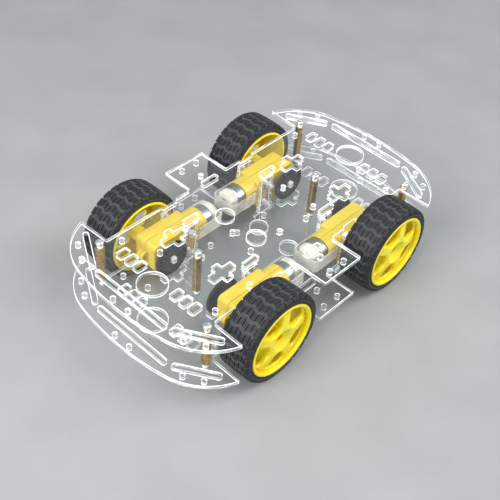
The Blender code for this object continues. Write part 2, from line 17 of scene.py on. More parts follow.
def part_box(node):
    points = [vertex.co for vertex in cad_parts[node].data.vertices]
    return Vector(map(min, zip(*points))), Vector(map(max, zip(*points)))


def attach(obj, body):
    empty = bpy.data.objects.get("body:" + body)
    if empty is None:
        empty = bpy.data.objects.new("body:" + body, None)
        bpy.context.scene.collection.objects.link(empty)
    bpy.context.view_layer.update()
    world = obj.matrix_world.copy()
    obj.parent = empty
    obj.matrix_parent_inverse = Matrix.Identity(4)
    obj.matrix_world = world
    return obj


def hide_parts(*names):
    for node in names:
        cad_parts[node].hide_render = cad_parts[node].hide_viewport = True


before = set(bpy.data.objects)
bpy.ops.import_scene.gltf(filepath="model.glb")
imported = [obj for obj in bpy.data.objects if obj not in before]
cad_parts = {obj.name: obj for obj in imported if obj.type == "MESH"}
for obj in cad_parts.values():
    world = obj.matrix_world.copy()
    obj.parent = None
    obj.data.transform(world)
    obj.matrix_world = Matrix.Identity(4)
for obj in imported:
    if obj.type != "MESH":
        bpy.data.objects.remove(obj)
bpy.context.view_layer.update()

MM = 0.001

# Faces that meet at a larger angle than this show an edge
SHARP_EDGE = radians(34)
# Where most values of a noise texture lie
NOISE_RANGE = (0.3, 0.7)


def span(node, axis):
    """Where a CAD node begins and ends along X, Y or Z, in millimetres."""
    return tuple(corner["XYZ".index(axis)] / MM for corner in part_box(node))


def unit_span(node, axis):
    """The span of a node of the front left drive unit, which stands for all four."""
    return span(node + "_front_left", axis)


# Places and sizes read from the CAD model
WHEEL_X = sum(unit_span("tyre", "X")) / 2
AXLE_Z = sum(unit_span("tyre", "Z")) / 2
TYRE_R = unit_span("tyre", "Z")[1] - AXLE_Z
TYRE_V = unit_span("tyre", "Y")
RIM_V = unit_span("wheel_rim", "Y")
CASE_V = unit_span("gearbox_case", "Y")[0], unit_span("gearbox_cover", "Y")[1]
SPLIT_V = sum(unit_span("motor_can", "Y")) / 2
DISC_V = unit_span("encoder_disc", "Y")
DISC_R = unit_span("encoder_disc", "Z")[1] - AXLE_Z
SHAFT_V = unit_span("output_shaft", "Y")
CAN_U = tuple(end - WHEEL_X for end in unit_span("motor_can", "X"))
STRAP_U = tuple(end - WHEEL_X for end in unit_span("motor_end_cap", "X"))
BRACKET_IN_V = unit_span("motor_bracket_inner", "Y")
BRACKET_OUT_V = unit_span("motor_bracket_outer", "Y")
BRACKET_Z = unit_span("motor_bracket_inner", "Z")
BRACKET_BAR = unit_span("motor_bracket_inner", "X")
LOWER_PLATE_Z = span("lower_plate", "Z")
UPPER_PLATE_Z = span("upper_plate", "Z")
PLATE_HALF_LENGTH = span("upper_plate", "X")[1]
PLATE_HALF_WIDTH = span("upper_plate", "Y")[1]

# Room between pieces that fit into each other
GAP = 0.3

# Plate cutting pattern, the same as the CAD plates'
END_ARC_RADIUS = 200.0
END_ARC_HALF_WIDTH = 40.0
CORNER_ARC_RADIUS = 46.0
BUMPER_TIP_X = 93.3
WHEEL_NOTCH_END = (92.7, 49.6)
SIDE_WING_X = 18.0
BRACKET_STEM = (31.7, 43.9)

# M3 screws, nuts and standoffs
M3_HOLE_R = 1.6
HEAD_R = 2.75
HEAD_HEIGHT = 2.0
HEAD_STEPS = 28
HEX_R = 5.5 / sqrt(3)
SEAT_GAP = 0.05

# Gearbox and motor, seen along the axes
CASE_U = (-27.5, 10.5)
CASE_HALF_HEIGHT = 11.25
WALL = 1.5
SHAFT_R = 2.7
SHAFT_FLAT = 1.85
BOLT_U = -20.3
BOLT_W = 8.75
SLEEVE_U = (-38.5, -26.5)
CAN_R = 10.0
CAN_FLAT = 7.55
CAN_CLEARANCE = 0.35

# Wheel
SPOKES = 5
SPOKE_COLUMNS = 16
SPOKE_HALF_WIDTH = (3.0, 4.2)
WINDOW_R = (10.5, 23.4)
WINDOW_CORNERS = (3.0, 3.6)
WEB_V = (73.0, 76.0)
HUB_V = 53.0
SOCKET_END_V = 58.5
BOWL_R = 8.6
FRONT_SPOKE_ANGLE = 171.5
REAR_SPOKE_ANGLE = 4
TREAD_ROWS = 28
TREAD_BASE_R = TYRE_R - 1.4
BLOCK_ROOT_R = 31.2

CORNERS = {"front_left": (1, 1), "front_right": (1, -1), "rear_left": (-1, 1), "rear_right": (-1, -1)}
STANDOFFS = {name: (sx * 98.5, sy * 49.5) for name, (sx, sy) in CORNERS.items()}
STANDOFFS |= {"middle_front": (58.3, 0.0), "middle_rear": (-58.3, 0.0)}


# Flat outlines: lists of (p, q) points, anticlockwise

def arc(centre, radius, start, end, steps):
    angles = [radians(start + (end - start) * i / steps) for i in range(steps + 1)]
    return [(centre[0] + radius * cos(angle), centre[1] + radius * sin(angle)) for angle in angles]


def circle(radius, steps, centre=(0, 0)):
    return arc(centre, radius, -90, 270, steps)[:-1]


def rectangle(centre, width, height):
    x, y = width / 2, height / 2
    return [(centre[0] + p, centre[1] + q) for p, q in ((-x, -y), (x, -y), (x, y), (-x, y))]


def slot(start, end, width):
    """A straight slot with round ends; start and end are its outermost points."""
    heading = atan2(end[1] - start[1], end[0] - start[0])
    half, turn = width / 2, degrees(heading)
    step_p, step_q = half * cos(heading), half * sin(heading)
    near, far = (start[0] + step_p, start[1] + step_q), (end[0] - step_p, end[1] - step_q)
    return arc(far, half, turn - 90, turn + 90, 10) + arc(near, half, turn + 90, turn + 270, 10)


def plus(centre, width, height, arm):
    x, y, half = width / 2, height / 2, arm / 2
    quarter = [(x, half), (half, half), (half, y)]
    points = quarter + [(-p, q) for p, q in reversed(quarter)]
    points += [(-p, -q) for p, q in quarter] + [(p, -q) for p, q in reversed(quarter)]
    return [(centre[0] + p, centre[1] + q) for p, q in points]


def flatted(radius, flat, steps):
    """A circle with two flats at p = -flat and p = +flat."""
    limit = degrees(acos(flat / radius))
    top = arc((0, 0), radius, limit, 180 - limit, steps)
    return top + [(-p, -q) for p, q in top]


def turned(points, angle):
    """The points turned round (0, 0); the angle is in radians."""
    return [(p * cos(angle) - q * sin(angle), p * sin(angle) + q * cos(angle))
            for p, q in points]


def corners_of(outline):
    """For each point: the point, and the unit directions into it and out of it."""
    points = [Vector(point) for point in outline]
    around = zip(points[-1:] + points[:-1], points, points[1:] + points[:1])
    return [(here, (here - before).normalized(), (after - here).normalized())
            for before, here, after in around]


def inset(outline, distance):
    """The outline moved inwards, or outwards where distance is negative."""
    least_divisor = 0.3
    moved = []
    for here, arriving, leaving in corners_of(outline):
        one, two = Vector((-arriving.y, arriving.x)), Vector((-leaving.y, leaving.x))
        point = here + (one + two) * distance / max(1 + one.dot(two), least_divisor)
        moved.append((point.x, point.y))
    return moved


def rounded(outline, radius, steps=4):
    """Each sharp corner of the outline replaced by an arc, which takes less than half of its sides."""
    smallest_turn, most_of_a_side = radians(22), 0.45
    found = []
    count = len(outline)
    for i, (here, arriving, leaving) in enumerate(corners_of(outline)):
        turn = -arriving.angle_signed(leaving)
        if abs(turn) < smallest_turn:
            found.append((here.x, here.y))
            continue
        neighbours = Vector(outline[i - 1]), Vector(outline[(i + 1) % count])
        shortest = min((point - here).length for point in neighbours)
        reach = min(radius * tan(abs(turn) / 2), shortest * most_of_a_side)
        used = reach / tan(abs(turn) / 2)
        side = 1 if turn > 0 else -1
        start = here - arriving * reach
        centre = start + Vector((-arriving.y, arriving.x)) * used * side
        spoke = start - centre
        for k in range(steps + 1):
            (p, q), = turned([spoke], turn * k / steps)
            found.append((centre.x + p, centre.y + q))
    return found


class Form:
    """A closed mesh under construction, from walls between outlines at two levels and flat caps."""

    def __init__(self):
        self.bm = bmesh.new()
        self.points = {}
        self.paint = 0

    def point(self, p, q, level):
        key = (round(p, 4), round(q, 4), round(level, 4))
        if key not in self.points:
            self.points[key] = self.bm.verts.new(key)
        return self.points[key]

    def ring(self, outline, level):
        return [self.point(p, q, level) for p, q in outline]

    def face(self, *verts):
        corners = list(dict.fromkeys(verts))
        if len(corners) > 2 and not self.bm.faces.get(corners):
            self.bm.faces.new(corners).material_index = self.paint

    def band(self, outline, level, other, other_level):
        """The strip between two outlines that have the same number of points."""
        near, far = self.ring(outline, level), self.ring(other, other_level)
        for a, b, c, d in zip(near, near[1:] + near[:1], far[1:] + far[:1], far):
            self.face(a, b, c, d)

    def bands(self, *sections):
        """Strips from each (outline, level) section to the next."""
        for here, there in zip(sections, sections[1:]):
            self.band(*here, *there)

    def wall(self, outline, low, high):
        self.band(outline, low, outline, high)

    def stub(self, outline, level, end_level, end=None):
        """A pit or a stub with a flat end, which may have an outline of its own."""
        end = end or outline
        self.band(outline, level, end, end_level)
        self.cap(end_level, end)

    def cap(self, level, *outlines):
        """Fills the flat region between outlines; an edge that two of them share is left out."""
        seen = {}
        for outline in outlines:
            ring = self.ring(outline, level)
            for a, b in zip(ring, ring[1:] + ring[:1]):
                side = self.bm.edges.get((a, b)) or self.bm.edges.new((a, b))
                seen[side] = not seen.get(side, False)
        sides = [side for side, once in seen.items() if once]
        made = bmesh.ops.triangle_fill(self.bm, edges=sides, use_beauty=True, use_dissolve=False)
        for item in made["geom"]:
            if isinstance(item, bmesh.types.BMFace):
                item.material_index = self.paint

    def prism(self, outline, low, high, holes=(), bevel=0.0, side_paint=0):
        """An outline swept from low to high with its holes, and a bevel on every rim of its two faces."""
        ends = []
        for loop, width in [(outline, bevel)] + [(hole, -bevel) for hole in holes]:
            tight = inset(loop, width) if bevel else loop
            ends.append(tight)
            self.paint = side_paint
            self.wall(loop, low + bevel, high - bevel)
            self.paint = side_paint + 1 if side_paint else 0
            if bevel:
                self.band(tight, low, loop, low + bevel)
                self.band(loop, high - bevel, tight, high)
        self.paint = 0
        self.cap(low, *ends)
        self.cap(high, *ends)


# How a form's (p, q, level) becomes a drive unit's (u, v, w)

def across(p, q, level):
    """Outline seen along the wheel axis, swept along v."""
    return p, level, q


def along(p, q, level):
    """Outline seen along the motor axis, swept along u; p is measured from the motor's axis."""
    return level, SPLIT_V + p, q


def upright(p, q, level):
    """Outline seen from above, swept along w; p along u, q along v from the motor's axis."""
    return p, SPLIT_V + q, level


def added(name, data):
    obj = bpy.data.objects.new(name, data)
    bpy.context.scene.collection.objects.link(obj)
    return obj


def shade(mesh):
    mesh.shade_smooth()
    mesh.set_sharp_from_angle(angle=SHARP_EDGE)


def make(name, form, finish, place=None):
    """The mesh object of a form, in the car's frame; finish names its materials."""
    for vert in form.bm.verts:
        vert.co = Vector(place(*vert.co) if place else vert.co) * MM
    bmesh.ops.delete(form.bm, geom=[vert for vert in form.bm.verts if not vert.link_faces])
    form.bm.normal_update()
    bmesh.ops.recalc_face_normals(form.bm, faces=form.bm.faces)
    mesh = bpy.data.meshes.new(name)
    form.bm.to_mesh(mesh)
    form.bm.free()
    shade(mesh)
    for key in finish.split():
        mesh.materials.append(MATERIALS[key])
    return added(name, mesh)


def fit(obj, body, slot_name, *nodes):
    """Puts a piece on its body, in place of the CAD nodes named; slot_name is not used."""
    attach(obj, body)
    if nodes:
        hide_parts(*nodes)


def combine(obj, operation, other):
    """Joins other to obj or cuts it away, once and for all."""
    modifier = obj.modifiers.new("combine", "BOOLEAN")
    modifier.operation = operation
    modifier.object = other
    modifier.solver = "EXACT"
    graph = bpy.context.evaluated_depsgraph_get()
    mesh = bpy.data.meshes.new_from_object(obj.evaluated_get(graph), depsgraph=graph)
    obj.modifiers.clear()
    obj.data = mesh
    shade(mesh)
    bpy.data.objects.remove(other)


# Materials

class Shader:
    """A Principled material with helpers that add procedural detail to it."""

    def __init__(self, name, roughness, metallic=0.0, **constants):
        self.material = bpy.data.materials.new(name)
        self.material.use_nodes = True
        self.tree = self.material.node_tree
        self.main = self.tree.nodes["Principled BSDF"]
        self.set(Roughness=roughness, Metallic=metallic, **constants)
        self.where = self.node("TexCoord").outputs["Object"]

    def set(self, **constants):
        for socket, value in constants.items():
            self.main.inputs[socket.replace("_", " ")].default_value = value

    def node(self, kind, sockets={}, **settings):
        """A new node; sockets gives a value, or an output to link, for some of its inputs."""
        made = self.tree.nodes.new("ShaderNode" + kind)
        for key, value in settings.items():
            setattr(made, key, value)
        for key, value in sockets.items():
            if isinstance(value, bpy.types.NodeSocket):
                self.link(value, made.inputs[key])
            else:
                made.inputs[key].default_value = value
        return made

    def link(self, source, target):
        self.tree.links.new(source, target)

    def noise(self, size_mm, detail=3.0, stretch=(1, 1, 1), roughness=0.5):
        """Noise with features of about this size; stretch draws them out along an axis."""
        scale = [1 / factor for factor in stretch]
        place = self.node("Mapping", {"Vector": self.where, "Scale": scale}).outputs["Vector"]
        sockets = {"Vector": place, "Scale": 1 / (size_mm * MM), "Detail": detail, "Roughness": roughness}
        return self.node("TexNoise", sockets).outputs["Fac"]

    def ramp(self, source, *stops):
        """Colours or grey values at the given places of a 0 to 1 source."""
        made = self.node("ValToRGB", {"Fac": source})
        band = made.color_ramp
        while len(band.elements) < len(stops):
            band.elements.new(0.5)
        for element, (place, colour) in zip(band.elements, stops):
            element.position = place
            element.color = (colour, colour, colour, 1) if isinstance(colour, float) else (*colour, 1)
        return made.outputs["Color"]

    def spread(self, source, low, high):
        """A noise stretched to run from low to high."""
        sockets = {"Value": source, "From Min": NOISE_RANGE[0], "From Max": NOISE_RANGE[1],
                   "To Min": low, "To Max": high}
        return self.node("MapRange", sockets).outputs["Result"]

    def mixed(self, factor, one, two):
        """Two colours mixed; a factor of 1 gives the second. Inputs 6 and 7 and output 2 hold colours."""
        one, two = [colour if isinstance(colour, bpy.types.NodeSocket) else (*colour, 1)
                    for colour in (one, two)]
        return self.node("Mix", {0: factor, 6: one, 7: two}, data_type="RGBA").outputs[2]

    def maths(self, operation, *values):
        return self.node("Math", dict(enumerate(values)), operation=operation, use_clamp=True).outputs[0]

    def add(self, *sources):
        total = sources[0]
        for source in sources[1:]:
            total = self.maths("ADD", total, source)
        return total

    def blended(self, factor, one, two):
        """Two shaders mixed; a factor of 1 gives the second."""
        return self.node("MixShader", {0: factor, 1: one, 2: two}).outputs[0]

    def occlusion(self, reach_mm, **settings):
        """1 in the open, less where surfaces come within reach."""
        reach = {"Distance": reach_mm * MM}
        return self.node("AmbientOcclusion", reach, samples=4, **settings).outputs["AO"]

    def colour(self, source):
        self.link(source, self.main.inputs["Base Color"])

    def rough(self, source, low, high):
        self.link(self.spread(source, low, high), self.main.inputs["Roughness"])

    def bump(self, depth_mm, *heights):
        """Bumps of the given heights laid over each other."""
        sockets = {"Strength": 1.0, "Distance": depth_mm * MM}
        for height in heights:
            sockets["Height"] = height
            sockets["Normal"] = self.node("Bump", sockets).outputs["Normal"]
        self.link(sockets["Normal"], self.main.inputs["Normal"])


def moulded(name, light, dark, roughness, grain_mm=0.35, depth=0.02, corners=None, reach_mm=3.0,
            **constants):
    """Injection-moulded plastic: faint flow marks, fine grain, and painted shade in its corners and
    recesses.
    """
    shader = Shader(name, roughness, **constants)
    flow = shader.noise(9.0, 4.0, (2.5, 1, 1))
    blotch = shader.ramp(flow, (0.35, dark), (0.65, light))
    # Painted shade: where occlusion finds other surfaces within reach_mm, as in corners and recesses, the
    # colour is mixed towards corners, which is dark times 0.62 unless given.
    deep = corners or tuple(c * 0.62 for c in dark)
    near = shader.ramp(shader.occlusion(reach_mm), (0.35, 1.0), (0.85, 0.0))
    shader.colour(shader.mixed(near, blotch, deep))
    shader.rough(shader.noise(2.5, 3.0), roughness - 0.06, roughness + 0.1)
    shader.bump(depth, shader.noise(grain_mm, 2.0), shader.noise(4.0, 2.0))
    shader.set(Subsurface_Radius=(1.0, 0.6, 0.15), Subsurface_Scale=2.5 * MM)
    return shader.material


def rubber():
    """Dusty moulded rubber: dark block tops, and a painted highlight along their edges."""
    shader = Shader("tyre_rubber", 0.62, Specular_IOR_Level=0.42)
    patch = shader.noise(7.0, 5.0)
    base = shader.ramp(patch, (0.3, (0.007, 0.008, 0.009)), (0.7, (0.016, 0.017, 0.020)))
    dust = shader.ramp(shader.noise(0.7, 4.0, roughness=0.7), (0.5, 0.0), (0.78, 0.3))
    dusty = shader.mixed(dust, base, (0.055, 0.056, 0.058))
    # Painted highlight: edges, found by inside occlusion, are lightened to grey.
    painted_edge_highlight = shader.ramp(shader.occlusion(0.45, inside=True), (0.45, 0.85), (0.85, 0.0))
    shader.colour(shader.mixed(painted_edge_highlight, dusty, (0.115, 0.118, 0.122)))
    shader.rough(patch, 0.5, 0.74)
    shader.bump(0.05, shader.noise(0.5, 3.0), shader.noise(3.5, 2.0))
    return shader.material


def metal(name, light, dark, roughness, brushed):
    """Turned or plated metal with fine brush lines along one axis and tarnished patches."""
    shader = Shader(name, roughness, 1.0)
    lines = shader.noise(0.18, 3.0, brushed)
    tarnish = shader.noise(3.2, 4.0, roughness=0.65)
    shader.colour(shader.mixed(shader.ramp(tarnish, (0.42, 0.0), (0.7, 1.0)), light, dark))
    shader.rough(lines, max(roughness - 0.1, 0.06), roughness + 0.14)
    shader.bump(0.012, lines)
    return shader.material


def clear_sheet(name, haze, tint, roughness, body=(0.82, 0.85, 0.86), milk=None, painted_glow=0.0):
    """Clear plastic: most light passes, and a gloss, a thin haze and dust stay.

    milk is the size in mm of stretches where a cut is frosted white; the last argument is painted light, the
    strength with which the body colour shines though the sheet is no lamp.
    """
    # Painted light: the body colour is also emitted, so the haze shines by itself.
    shader = Shader(name, 0.5, Base_Color=(*body, 1), Emission_Color=(*body, 1), Emission_Strength=painted_glow)
    smear = shader.noise(26.0, 5.0, (1.6, 1, 1), 0.6)
    specks = shader.ramp(shader.noise(0.8, 2.0, roughness=0.8), (0.70, 0.0), (0.76, 0.35))
    scratches = shader.ramp(shader.noise(1.1, 2.0, (1, 24, 1)), (0.66, 0.0), (0.72, 0.10))
    film = shader.add(shader.spread(smear, haze * 0.5, haze * 1.5), specks, scratches)
    if milk:
        stretch = shader.noise(milk, 3.0, (1, 1, 0.1), 0.6)
        striae = shader.noise(0.6, 2.0, (1, 1, 0.05), 0.6)
        frosted = shader.ramp(stretch, (0.46, 0.08), (0.60, 0.80))
        film = shader.add(film, shader.add(frosted, shader.spread(striae, 0.0, 0.18)))
    clear = shader.node("BsdfTransparent", {"Color": (*tint, 1)})
    wave = shader.node("Bump", {"Distance": 0.006 * MM, "Height": shader.noise(16.0, 2.0)})
    gloss = shader.node("BsdfGlossy", {"Roughness": roughness, "Normal": wave.outputs["Normal"]})
    facing = shader.node("LayerWeight").outputs["Facing"]
    steepness, most, least = 4.5, 0.9, 0.045
    shine = shader.maths("MULTIPLY_ADD", shader.maths("POWER", facing, steepness), most, least)
    see_through = shader.blended(shine, clear.outputs[0], gloss.outputs[0])
    surface = shader.blended(film, see_through, shader.main.outputs[0])
    shader.link(surface, shader.tree.nodes["Material Output"].inputs["Surface"])
    return shader.material


def cut_edge():
    """The two rims of the laser cut: bright lines with fine striations, which shine with painted light."""
    # Painted light: the rims emit a pale bluish white, though they are no lamp.
    shader = Shader("acrylic_edge", 0.16, IOR=1.49, Emission_Color=(0.95, 0.98, 1.0, 1),
                    Emission_Strength=0.25)
    lines = shader.noise(0.5, 3.0, (1, 1, 14), 0.6)
    shader.colour(shader.ramp(lines, (0.3, (0.80, 0.85, 0.86)), (0.62, (0.97, 0.98, 0.98))))
    shader.rough(lines, 0.1, 0.34)
    shader.bump(0.05, lines)
    return shader.material


MATERIALS = {
    "sheet": clear_sheet("acrylic_face", 0.012, (0.985, 0.992, 0.992), 0.03),
    # acrylic_cut and strap_film shine with painted light, at 0.10 and 0.2.
    "cut": clear_sheet("acrylic_cut", 0.03, (0.93, 0.95, 0.95), 0.12, (0.95, 0.98, 0.98), 13.0, 0.10),
    "edge": cut_edge(),
    "strap": clear_sheet("strap_film", 0.26, (0.95, 0.95, 0.92), 0.10, (0.93, 0.92, 0.86), painted_glow=0.2),
    # The housing's corners colour is painted shade, orange, in its corners and recesses.
    "housing": moulded("housing_yellow_plastic", (0.78, 0.60, 0.05), (0.73, 0.54, 0.035), 0.36,
                       corners=(0.74, 0.42, 0.015), Specular_IOR_Level=0.45, Subsurface_Weight=0.12),
    # The rim's corners colour (0.97, 0.53, 0.0) and 10 mm reach are painted shade, orange, deep in the
    # window interiors and the barrel.
    "rim": moulded("rim_yellow_plastic", (0.98, 0.86, 0.015), (0.95, 0.78, 0.010), 0.26, 0.5, 0.008,
                   (0.97, 0.53, 0.0), 10.0, Coat_Weight=0.15, Coat_Roughness=0.2, Subsurface_Weight=0.3),
    "black": moulded("black_plastic", (0.012, 0.012, 0.015), (0.007, 0.007, 0.009), 0.40, 0.25,
                     Specular_IOR_Level=0.3),
    "nylon": moulded("white_nylon", (0.86, 0.85, 0.80), (0.78, 0.77, 0.71), 0.42, 0.3,
                     Subsurface_Weight=0.15),
    "bell": moulded("milky_plastic", (0.82, 0.79, 0.70), (0.64, 0.61, 0.53), 0.5, 0.6, 0.04,
                    Specular_IOR_Level=0.3, Subsurface_Weight=0.2),
    "brass": metal("turned_brass", (0.66, 0.44, 0.17), (0.36, 0.22, 0.09), 0.3, (1, 1, 8)),
    "steel": metal("plated_steel", (0.90, 0.90, 0.91), (0.70, 0.71, 0.73), 0.34, (1, 6, 1)),
    "can": metal("motor_can_steel", (0.43, 0.46, 0.48), (0.28, 0.30, 0.33), 0.38, (1, 9, 9)),
    "rubber": rubber(),
}


# Chassis plates

def plate_outline():
    """One quarter from the front apex round to the side wing, then its three mirror images."""
    centre_x = PLATE_HALF_LENGTH - END_ARC_RADIUS
    half_angle = degrees(asin(END_ARC_HALF_WIDTH / END_ARC_RADIUS))
    quarter = arc((centre_x, 0), END_ARC_RADIUS, 0, half_angle, 12)
    joint = quarter[-1]
    normal = (cos(radians(half_angle)), sin(radians(half_angle)))
    corner = (joint[0] - CORNER_ARC_RADIUS * normal[0], joint[1] - CORNER_ARC_RADIUS * normal[1])
    tip = (BUMPER_TIP_X, PLATE_HALF_WIDTH)
    tip_angle = degrees(atan2(tip[1] - corner[1], tip[0] - corner[0]))
    quarter += arc(corner, CORNER_ARC_RADIUS, half_angle, tip_angle, 22)[1:]
    notch_x, notch_y = WHEEL_NOTCH_END
    low_x, high_x, bracket_y = BRACKET_STEM[0] - GAP, BRACKET_STEM[1] + GAP, CASE_V[1]
    quarter += [(notch_x, notch_y), (high_x, notch_y), (high_x, bracket_y), (low_x, bracket_y)]
    quarter += [(low_x, notch_y), (SIDE_WING_X, notch_y), (SIDE_WING_X, PLATE_HALF_WIDTH)]
    points = quarter + [(-x, y) for x, y in reversed(quarter)]
    points += [(-x, -y) for x, y in quarter[1:]] + [(x, -y) for x, y in reversed(quarter[1:])]
    points = [point for i, point in enumerate(points) if point != points[i - 1]]
    return rounded(points, 0.9)


def plate_holes(facing):
    """The cut-outs that repeat in all four quarters, then those that turn with the plate."""
    quarter_screws = (124, 6.9), (115.7, 46.7), (108.8, 58.8), (85.3, 43), (7, 68.8)
    width, height = [high - low + 2 * GAP for low, high in (BRACKET_STEM, BRACKET_IN_V)]
    holes = []
    for sx in (1, -1):
        for sy in (1, -1):
            bracket = sx * (sum(BRACKET_STEM) / 2), sy * sum(BRACKET_IN_V) / 2
            holes += [circle(M3_HOLE_R, 24, (sx * x, sy * y)) for x, y in quarter_screws]
            holes += [rounded(rectangle((sx * 92.9, sy * y), 8.6, 5.2), 1.1) for y in (33.0, 25.0, 17.0)]
            holes += [rounded(plus((sx * 58.5, sy * 22.3), 20.0, 14.6, 5.6), 0.8),
                      slot((sx * 98.5, sy * 64.0), (sx * 115.0, sy * 36.5), 3.5),
                      rounded(rectangle(bracket, width, height), 0.4)]
        holes += [circle(10.0, 64, (sx * 97.7, 0)), slot((sx * 116, -32), (sx * 116, 32), 3.5),
                  rounded(rectangle((0, sx * 48.0), 14.0, 4.0), 0.9)]
    holes += [circle(M3_HOLE_R, 24, place) for place in STANDOFFS.values()]
    holes += [circle(6.5, 48, (facing * 18.5, side * 14.5)) for side in (1, -1)]
    own_screws = ((26.7, 0.6), (2.8, 21.1), (30.6, 21.1), (-33.1, -7.8), (-20.6, 24.4), (75, -17.8),
                  (1, 55.8), (1, -55.8), (53.8, 41.9), (-33.5, 19.8), (-80.5, 23.8))
    return holes + [circle(M3_HOLE_R, 24, (facing * x, facing * y)) for x, y in own_screws]


def add_plate(name, levels, facing):
    form = Form()
    form.prism(plate_outline(), *levels, plate_holes(facing), 0.3, side_paint=1)
    fit(make(name + "_sheet", form, "sheet cut edge"), "chassis", "acrylic", name)


# Fasteners

def pan_head(form, top, direction):
    """A pan head with a cross recess; top is its crown's level, direction is +1 if the crown faces up."""
    def at(depth):
        return top - direction * depth

    crown_r = HEAD_R - 0.9
    profile = [(HEAD_R, HEAD_HEIGHT), (HEAD_R, 0.95), (HEAD_R - 0.12, 0.55), (HEAD_R - 0.4, 0.22),
               (crown_r, 0.0)]
    form.bands(*[(circle(radius, HEAD_STEPS), at(depth)) for radius, depth in profile])
    cross, pit, pit_depth = plus((0, 0), 3.1, 3.1, 0.75), plus((0, 0), 1.5, 1.5, 0.45), 1.25
    form.cap(at(0.0), circle(crown_r, HEAD_STEPS), cross)
    form.stub(cross, at(0.0), at(pit_depth), pit)


def thread(form, low, high):
    """Walls of a shank, as turned ridges; one with high below low has only two, both long."""
    radius, ridge, pitch, steps = 1.45, 0.22, 0.5, 18
    turns = max(2, round((high - low) / pitch))
    levels = [low + (high - low) * i / (2 * turns) for i in range(2 * turns + 1)]
    rings = [circle(radius if i % 2 else radius - ridge, steps) for i in range(len(levels))]
    form.bands(*zip(rings, levels))
    return rings[0], rings[-1]


def screw(form, seat, end, direction):
    """A pan-head screw; direction is +1 if its head faces up."""
    pan_head(form, seat + direction * HEAD_HEIGHT, direction)
    root, tip = thread(form, seat, end)
    form.cap(seat, circle(HEAD_R, HEAD_STEPS), root)
    form.cap(end, tip)


def add_standoff(name, x, y):
    """A brass hexagonal spacer between the plates, and a screw into each of its ends."""
    low, high, gap, grip = LOWER_PLATE_Z[1], UPPER_PLATE_Z[0], 0.02, 7.5
    spacer, screws = Form(), Form()
    hexagon = rounded(circle(HEX_R, 6), 0.35, 3)
    spacer.prism(hexagon, low + gap, high - gap, [circle(M3_HOLE_R, 18)], 0.25)

    def place(p, q, level):
        return p + x, q + y, level

    fit(make(f"spacer_{name}", spacer, "brass", place), "chassis", "brass", f"standoff_{name}")
    for plate, direction in ((UPPER_PLATE_Z[1], 1), (LOWER_PLATE_Z[0], -1)):
        screw(screws, plate + direction * SEAT_GAP, plate - direction * grip, direction)
    fit(make(f"spacer_screws_{name}", screws, "steel", place), "chassis", "steel")


def add_motor_bolts(corner, placed):
    """Two long bolts through the brackets and the gearbox, heads towards the wheel, with their nuts."""
    seat, length, nut_height = BRACKET_OUT_V[1] + SEAT_GAP, 30.0, 2.4
    nut_high = BRACKET_IN_V[0] - SEAT_GAP
    bolts, nuts = Form(), Form()
    for side in (1, -1):
        one, nut = Form(), Form()
        screw(one, seat, seat - length, 1)
        nut.prism(rounded(circle(HEX_R, 6), 0.5, 3), nut_high - nut_height, nut_high, [circle(1.5, 18)], 0.3)
        for source, target in ((one, bolts), (nut, nuts)):
            merge(source, target, BOLT_U, side * BOLT_W)
    fit(make(f"motor_bolts_{corner}", bolts, "steel", placed(across)), "chassis", "steel")
    fit(make(f"motor_nuts_{corner}", nuts, "steel", placed(across)), "chassis", "steel")


def merge(source, target, p, q):
    """Moves one form across its levels and puts it into another."""
    bmesh.ops.translate(source.bm, verts=source.bm.verts, vec=(p, q, 0))
    copies = {vert: target.bm.verts.new(vert.co) for vert in source.bm.verts}
    for face in source.bm.faces:
        target.bm.faces.new([copies[vert] for vert in face.verts]).material_index = face.material_index
    source.bm.free()


# Wheel

def tread_zigzag(v):
    """How far the channel between two tread rows swings round the tyre, in millimetres."""
    swing, wave = 1.1, 8.8
    return swing * (4 * abs((v / wave + 0.25) % 1.0 - 0.5) - 1)


def tread_block(form, top_path, base_path, low, high, swing, bevel=0.2):
    """One closed rubber block curved round the tyre, with bevelled edges.

    The paths give its (v, radius) stations on the outside and underneath; low and high are its ends.
    """
    stations = 4
    last = len(top_path) - 1
    tops, bases = [[Vector(point) for point in path] for path in (top_path, base_path)]
    inner = [top + (base - top).normalized() * bevel for top, base in zip(tops, bases)]
    outer = list(tops)
    outer[0] = tops[0] + (tops[1] - tops[0]).normalized() * bevel
    outer[last] = tops[last] + (tops[last - 1] - tops[last]).normalized() * bevel

    def lattice(path, shrink):
        rows = []
        for (v, radius), (plain_v, _) in zip(path, tops):
            start, end = low + swing(plain_v) + shrink, high + swing(plain_v) - shrink
            angles = [(start + (end - start) * k / (stations - 1)) / TYRE_R for k in range(stations)]
            rows.append([form.bm.verts.new((radius * cos(a), radius * sin(a), v)) for a in angles])
        return rows

    top, skirt, base = lattice(outer, bevel), lattice(inner, 0.0), lattice(bases, 0.0)
    for i in range(last):
        for k in range(stations - 1):
            form.bm.faces.new((top[i][k], top[i + 1][k], top[i + 1][k + 1], top[i][k + 1]))
            form.bm.faces.new((base[i][k], base[i][k + 1], base[i + 1][k + 1], base[i + 1][k]))
    rim = [(i, 0) for i in range(last + 1)] + [(last, k) for k in range(1, stations)]
    rim += [(i, stations - 1) for i in range(last - 1, -1, -1)]
    rim += [(0, k) for k in range(stations - 2, 0, -1)]
    for (i, k), (m, n) in zip(rim, rim[1:] + rim[:1]):
        for above, below in ((top, skirt), (skirt, base)):
            form.bm.faces.new((above[i][k], above[m][n], below[m][n], below[i][k]))


def crown_radius(v):
    """The tread's radius across its width; v is measured from the middle."""
    return TYRE_R - 0.55 * (abs(v) / 12.7) ** 2.6


